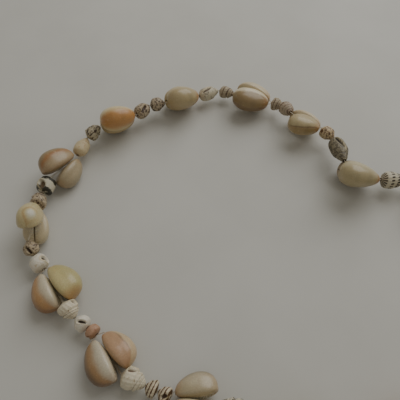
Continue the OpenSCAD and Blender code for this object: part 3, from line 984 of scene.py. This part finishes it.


# Each look's above and below colours are partly own colour zones, mostly painted highlight above and shade
# below
COWRIE_LOOKS = {
    (1, LEFT): painted(
        (196, 182, 144), (216, 206, 172), (182, 166, 128), (196, 180, 142),
        at=0.9, narrow_k=0.85, wide_k=0, step=0.008,
    ),
    (1, RIGHT): painted((176, 168, 152), (196, 188, 170), (176, 166, 146), (188, 178, 156)),
    (2, LEFT): painted(
        (180, 154, 108), (206, 190, 150), (190, 168, 124), (200, 180, 140),
        hi=0.1, soft=0.16, slant=0.37, lo=-0.3, at=0.9, line_k=0.6, narrow_k=0.45, wide_k=0,
    ),
    (2, RIGHT): painted(
        (240, 236, 222), (242, 238, 224), (226, 216, 196), ring=(176, 146, 110), ring_k=0.35, narrow_k=0.2
    ),
    (3, LEFT): painted(
        (164, 140, 100), (244, 232, 204), (146, 120, 86), (244, 232, 200),
        hi=0.76, soft=0.07, lo=-0.1, at=0.93, line_k=0.3, wide_k=0,
    ),
    (3, RIGHT): painted((226, 218, 196), (230, 220, 192), (214, 200, 168), ring_k=0.1),
    (4, LEFT): painted(
        (200, 182, 142), (222, 208, 168), (192, 170, 128), (210, 192, 152),
        at=0.92, ring_k=0.05, narrow_k=0.75, wide_k=0, step=0.008,
    ),
    (5, LEFT): painted(
        (210, 156, 94), (238, 222, 178), (230, 210, 166), (234, 214, 168),
        hi=0.3, lo=-0.74, soft=0.22, at=0.92, narrow_k=0.2, wide_k=0.2,
    ),
    (6, RIGHT): painted(
        (178, 134, 88), (188, 168, 136), (170, 150, 116), (188, 162, 130),
        hi=0.66, lo=0.42, soft=0.12, at=0.92, narrow_k=0.2,
    ),
    (6, LEFT): painted(
        (186, 172, 144), (202, 190, 162), (170, 152, 120), (190, 174, 144), ring_k=0.05, narrow_k=0.2
    ),
    (7, RIGHT): painted(
        (222, 208, 162), (216, 202, 160), (214, 200, 158), (216, 202, 162),
        at=0.95, narrow_k=0.1, wide_k=0, eye=(0.8, 0.34, 0.17, 0.36),
    ),
    (7, LEFT): painted(
        (218, 206, 176), (220, 206, 174), (206, 192, 158), (218, 204, 172),
        ring_k=0.1, narrow_k=0.2, wide_k=0,
    ),
    (8, RIGHT): painted(
        (206, 162, 112), (226, 216, 194), (164, 124, 84), (230, 220, 196),
        hi=0.8, lo=0.4, soft=0.17, at=0.94, narrow_k=0.1,
    ),
    (8, LEFT): painted(
        (204, 194, 142), (222, 212, 156), (194, 172, 124), (214, 200, 150),
        at=0.9, ring_k=0.05, narrow_k=0.1, wide_k=0.5,
    ),
    (9, RIGHT): painted(
        (184, 148, 106), (224, 216, 198), (128, 102, 74), (228, 218, 194),
        hi=0.77, lo=0.42, soft=0.16, at=0.94, narrow_k=0.1,
    ),
    (9, LEFT): painted(
        (222, 198, 162), (206, 168, 134), (212, 188, 150), (204, 170, 134),
        hi=0.5, soft=0.05, line_k=0.5, at=0.97, narrow_k=0.1,
    ),
    (10, LEFT): painted(
        (192, 180, 156), (224, 216, 190), (158, 144, 118), (200, 186, 156), hi=0.5, lo=0.3, ring_k=0.1
    ),
    (10, RIGHT): painted((206, 176, 136), (210, 182, 142), ring_k=0.15),
}
# A pair's cowries that the photo doesn't show look like the left ones of these two pairs
ALIKE = {4: (4, 4), 5: (5, 4), 11: (8, 4), 12: (5, 3), 13: (9, 1), 14: (4, 8), 15: (2, 10)}
COWRIE_LOOK_SEED = 7


def cowrie_look(i, side):
    own = COWRIE_LOOKS.get((i + 1, LEFT if side > 0 else RIGHT))
    return own or COWRIE_LOOKS[ALIKE[i + 1][side < 0], LEFT]


# Upper and lower colours of the back: own colour zones, mostly with painted highlight above and painted shade
# below
def back_colour_and_painted_light(g, look, lift):
    above = g.range(lift, look["hi"] - look["soft"], look["hi"] + look["soft"])
    below = g.range(lift, look["lo"] - look["soft"], look["lo"] + look["soft"], 1, 0)
    return g.over(g.mix(above, srgb(look["middle"]), srgb(look["above"])), below, look["below"])


def with_bands(g, look, colour, share, soft, dome):
    waves = g.math("SINE", g.times(g.add(share, g.times(soft, 0.1)), 17))
    bands = g.times(g.range(waves, -0.2, 1), g.range(dome, 0.35, 0.7, look["band_k"], 0))
    return g.over(colour, bands, darker(look["middle"], BAND_DARKNESS))


def with_line(g, look, colour, lift, dome):
    """The brown line where the upper colour starts, which ends before the margin."""
    on_line = g.range(g.apart(lift, look["hi"]), 0, 0.08, look["line_k"], 0)
    return g.over(colour, g.times(on_line, g.range(dome, 0.75, 0.95, 1, 0)), BROWN_LINE)


def with_margin(g, look, colour, dome, soft):
    """The margin's colour, with a ring of uneven strength where it starts."""
    colour = g.over(colour, g.range(dome, look["at"], look["at"] + 0.2), look["margin"])
    on_ring = g.range(g.apart(dome, look["at"] + 0.02), 0.01, 0.18, look["ring_k"], 0)
    return g.over(colour, g.times(on_ring, g.range(soft, 0.3, 0.6, 0.55, 1)), look["ring"])


def with_eye(g, look, colour, share, lift, wander):
    """A pearly worn patch with a rim that is stronger below it."""
    place, turned, length, width = look["eye"]
    out = g.add(g.ratio_squared(g.less(share, place), length), g.ratio_squared(g.less(lift, turned), width))
    eye = g.add(g.math("SQRT", out), g.times(wander, 0.5))
    colour = g.over(colour, g.range(eye, 0.2, 1, 0.75, 0), PEARL)
    on_rim = g.range(g.apart(eye, 1.1), 0, 0.4, 1, 0)
    return g.over(colour, g.times(on_rim, g.range(lift, turned - 0.1, turned + 0.35, 0.5, 0.12)), EYE_RIM)


def cowrie_material(name, look, seed):
    g = Graph(name)
    local = g.local(seed)
    soft = g.noise(local, 0.13, 3)
    fine = g.noise(local, 1.4, 4, 0.6)
    share = g.field("along")
    wander = g.less(soft, 0.5)
    dome = g.add(g.field("dome"), g.times(wander, 0.22))
    lift = g.add(g.field("lift"), g.times(wander, 0.2))
    lift = g.add(lift, g.times(g.less(share, 0.5), look["slant"]))
    colour = back_colour_and_painted_light(g, look, lift)
    colour = with_bands(g, look, colour, share, soft, dome)
    colour = with_line(g, look, colour, lift, dome)
    colour = with_margin(g, look, colour, dome, soft)
    if look["eye"]:
        colour = with_eye(g, look, colour, share, lift, wander)
    colour = g.over(colour, g.range(share, 0, 0.26, look["narrow_k"], 0), AMBER)
    colour = g.over(colour, g.range(share, 0.82, 1, 0, look["wide_k"]), AMBER)
    colour = g.over(colour, g.range(dome, 1.3, 1.75), WHITE)
    worn = g.range(g.noise(local, 0.45, 4, 0.65), 0.58, 0.72, 0, 0.3)
    colour = g.over(colour, worn, CHALK)
    colour = g.over(colour, g.range(fine, 0.3, 0.7, 0.2, 0), GRIME, "MULTIPLY")
    colour = g.over(colour, 1, AGED, "MULTIPLY")
    roughness = g.range(g.add(worn, g.times(fine, 0.4)), 0.1, 0.6, 0.36, 0.54)
    height = g.add(g.times(fine, 0.4), g.noise(local, 0.6, 2))
    return g.finish(colour, roughness, height, bump=0.25, subsurface=0.12, coat=0.32)


# Look of a small shell: light and dark colour, how much of the dark, what it follows, its grain in 1/mm,
# and the colour of its mouth, which is painted shade of the hollow inside, also in the drilled hole
SHELL_LOOKS = {
    "slate": ((160, 152, 130), (108, 100, 82), 0.75, "streaks", 0.9, (50, 38, 26)),
    "rust": ((230, 208, 170), (104, 68, 44), 0.75, "spots", 0.65, (96, 66, 40)),
    "rose": ((196, 180, 160), (132, 108, 90), 0.7, "rings", 0.5, (110, 84, 60)),
    "grey": ((194, 180, 156), (124, 104, 82), 0.6, "rings", 0.5, (104, 80, 56)),
    "patch": ((226, 218, 196), (80, 60, 42), 0.4, "spots", 0.3, (92, 68, 44)),
    "mottled": ((206, 190, 166), (84, 66, 50), 0.75, "spots", 0.75, (70, 48, 30)),
    "streaked": ((204, 194, 168), (84, 70, 54), 0.6, "streaks", 0.7, (86, 66, 46)),
    "cream": ((228, 212, 176), (208, 172, 126), 0.4, "spots", 0.35, (130, 98, 64)),
    "banded": ((226, 222, 204), (60, 58, 46), 0.8, "bands", 0.4, (120, 98, 70)),
    "brown": ((204, 188, 162), (92, 72, 54), 0.72, "spots", 0.7, (70, 48, 30)),
    "white": ((250, 246, 236), (222, 208, 182), 0.3, "spots", 0.3, (62, 46, 32)),
    "worn": ((246, 238, 218), (166, 132, 94), 0.3, "spots", 0.45, (96, 68, 42)),
    "pink": ((206, 166, 138), (176, 126, 98), 0.45, "spots", 0.5, (96, 60, 40)),
    "chalk": ((245, 238, 218), (196, 178, 148), 0.3, "spots", 0.4, (104, 78, 50)),
    "ringed": ((234, 222, 198), (112, 84, 56), 0.9, "rings", 0.5, (80, 54, 32)),
    "dotted": ((222, 216, 196), (66, 58, 46), 0.9, "dots", 0.6, (80, 60, 40)),
}
# Rings along the shell, where the dark starts at an amount of 0, how much lower at 1, how soft its edge is,
# and how streaks are stretched along the shell
RINGS_ALONG = {"rings": 3.5, "dots": 3.5, "bands": 1.6}
DARK_START = {"rings": 0.95, "bands": 0.9, "dots": 0.85, "spots": 0.66, "streaks": 0.66}
DARK_GROWTH = 0.28
DARK_EDGE = 0.14
SPOT_EDGE = 0.2
STREAK_STRETCH = (0.45, 1, 1)
SUTURE_PAINTED_SHADE = 0.6
DUST = (150, 124, 90)
LIP_COLOUR = (226, 210, 170)
SMALL_LOOK_SEED = 300


def pattern_place(g, style, blotch):
    """What the dark of a small shell follows."""
    if style in RINGS_ALONG:
        around = g.math("SINE", g.times(g.field("along"), 2 * math.pi * RINGS_ALONG[style]))
        around = g.times(g.add(around, 1), 0.5)
    if style == "dots":
        return g.add(g.times(around, g.range(g.field("axial"), 0.3, 0.6)), g.times(blotch, 0.2))
    if style in ("rings", "bands"):
        return g.add(g.times(around, 0.6), g.times(blotch, 0.7))
    return g.add(blotch, g.times(g.times(g.field("axial"), g.field("spiral")), 0.06))


def small_shell_material(name, look, seed):
    light, dark, amount, style, grain, inside = SHELL_LOOKS[look]
    g = Graph(name)
    local = g.local(seed, STREAK_STRETCH if style == "streaks" else (1, 1, 1))
    blotch = g.noise(local, grain, 2, 0.55, 0.6)
    fine = g.noise(local, 2.6, 4, 0.6)
    start = DARK_START[style] - DARK_GROWTH * amount
    end = start + (SPOT_EDGE if style == "spots" else DARK_EDGE)
    pattern = g.range(pattern_place(g, style, blotch), start, end)
    colour = g.mix(pattern, srgb(light), srgb(dark))
    colour = g.over(colour, g.range(fine, 0.25, 0.7, 0.35, 0), DUST, "MULTIPLY")
    # Darker along the suture groove: painted shade in the recess between the whorls
    colour = g.over(colour, g.times(g.field("groove"), 0.5), darker(dark, SUTURE_PAINTED_SHADE))
    colour = g.over(colour, g.times(g.field("lip"), 0.7), LIP_COLOUR)
    # The mouth and the drilled hole take the look's last colour: painted shade of the hollow inside
    colour = g.over(colour, g.range(g.field("mouth"), 0.35, 0.95), inside)
    colour = g.over(colour, 1, AGED, "MULTIPLY")
    roughness = g.range(fine, 0.2, 0.8, 0.42, 0.62)
    height = g.add(fine, g.times(g.noise(local, 1.2, 3), 0.8))
    return g.finish(colour, roughness, height, bump=0.5, subsurface=0.06, coat=0.05)


PLY_GROOVE_SHADE = (176, 164, 138)
PLY_LIGHT = (226, 218, 198)
THREAD_STAIN = (164, 138, 100)


def thread_material():
    g = Graph("thread_twist")
    where = g.node("TexCoord").outputs["Object"]
    fuzz = g.noise(where, 6000, 3)
    stain = g.noise(where, 90, 3)
    # Darker in the grooves between the plies, the thread's own colour on their crests: painted shade of the
    # twist
    colour = g.mix(g.field("ply"), srgb(PLY_GROOVE_SHADE), srgb(PLY_LIGHT))
    colour = g.over(colour, g.range(stain, 0.4, 0.7, 0, 0.5), THREAD_STAIN)
    return g.finish(colour, g.range(fuzz, 0.2, 0.8, 0.7, 0.9), fuzz, bump=0.6)


FLOOR_DARK = (0.58, 0.575, 0.525, 1)
FLOOR_LIGHT = (0.615, 0.61, 0.56, 1)


def floor_material():
    g = Graph("pale_floor")
    where = g.node("TexCoord").outputs["Object"]
    soft = g.noise(where, 14, 3)
    fibre = g.noise(where, 900, 4, 0.6)
    colour = g.mix(g.range(soft, 0.3, 0.7), FLOOR_DARK, FLOOR_LIGHT)
    return g.finish(colour, g.range(fibre, 0.2, 0.8, 0.75, 0.9), fibre, bump=0.12)


# Building
SMALL_SEED = 200


def add_cowries():
    cutter = bore_cutter()
    for i in range(len(PAIRS)):
        for side in (1, -1):
            look = cowrie_look(i, side)
            piece = cowrie_piece(i, side, cutter, look["step"])
            seed = COWRIE_LOOK_SEED + 2 * i + (side > 0)
            piece.data.materials.clear()
            piece.data.materials.append(cowrie_material(cowrie_name(i, side) + "_look", look, seed))
    bpy.data.objects.remove(cutter)


def add_small_shells():
    count = 0
    for i in range(len(PAIRS)):
        for k, strung in enumerate(in_gap(i)):
            if strung[KIND] == KNOT:
                continue
            count += 1
            piece = small_shell_piece(i, k, SMALL_SEED + count)
            look = small_shell_material(piece.name + "_look", strung[LOOK], SMALL_LOOK_SEED + count)
            piece.data.materials.append(look)


def add_thread():
    twist = thread_material()
    for piece in (strand_piece(1), strand_piece(-1), knot_piece()):
        piece.data.materials.append(twist)


add_cowries()
add_small_shells()
add_thread()

# Floor
FLOOR_HALF = 4.0
floor_points = [(FLOOR_HALF * x, FLOOR_HALF * y, 0) for x, y in ((-1, -1), (1, -1), (1, 1), (-1, 1))]
floor = linked("floor", mesh_from("floor", floor_points, [(0, 1, 2, 3)]))
floor.data.materials.append(floor_material())

# Light
WINDOW_PLACE = (0.5, 0.8, 0.85)
WINDOW_TARGET = (0.0, 0.1, 0.0)
WINDOW_SIZE = 1.2
WINDOW_POWER = 9.6
WINDOW_COLOUR = (0.99, 0.99, 1.0)
ROOM_COLOUR = (1.0, 0.95, 0.86, 1)
ROOM_STRENGTH = 0.29


def add_window():
    lamp = bpy.data.lights.new("window", "AREA")
    lamp.shape = "SQUARE"
    lamp.size = WINDOW_SIZE
    lamp.energy = WINDOW_POWER
    lamp.color = WINDOW_COLOUR
    window = linked("window", lamp)
    away = unit(np.array(WINDOW_TARGET) - np.array(WINDOW_PLACE))
    window.location = WINDOW_PLACE
    window.rotation_euler = (math.acos(-away[2]), 0, math.atan2(away[1], away[0]) - math.pi / 2)


def add_room():
    world = bpy.data.worlds.new("room")
    world.use_nodes = True
    background = world.node_tree.nodes["Background"]
    background.inputs["Color"].default_value = ROOM_COLOUR
    background.inputs["Strength"].default_value = ROOM_STRENGTH
    bpy.context.scene.world = world


# Camera: height in millimetres, degrees below the horizon, and the lens
CAMERA_HEIGHT = 275.03
CAMERA_PITCH = 57
FOCAL_PIXELS = 461
IMAGE_PIXELS = 400
SENSOR = 36
CLIP_START = 0.01


def add_camera():
    lens = bpy.data.cameras.new("camera")
    lens.sensor_width = SENSOR
    lens.lens = SENSOR * FOCAL_PIXELS / IMAGE_PIXELS
    lens.clip_start = CLIP_START
    camera = linked("camera", lens)
    camera.location = (-LOOP_MIDDLE[X] * MM, -LOOP_MIDDLE[Y] * MM, CAMERA_HEIGHT * MM)
    camera.rotation_euler = (math.radians(90 - CAMERA_PITCH), 0, 0)
    bpy.context.scene.camera = camera


add_window()
add_room()
add_camera()
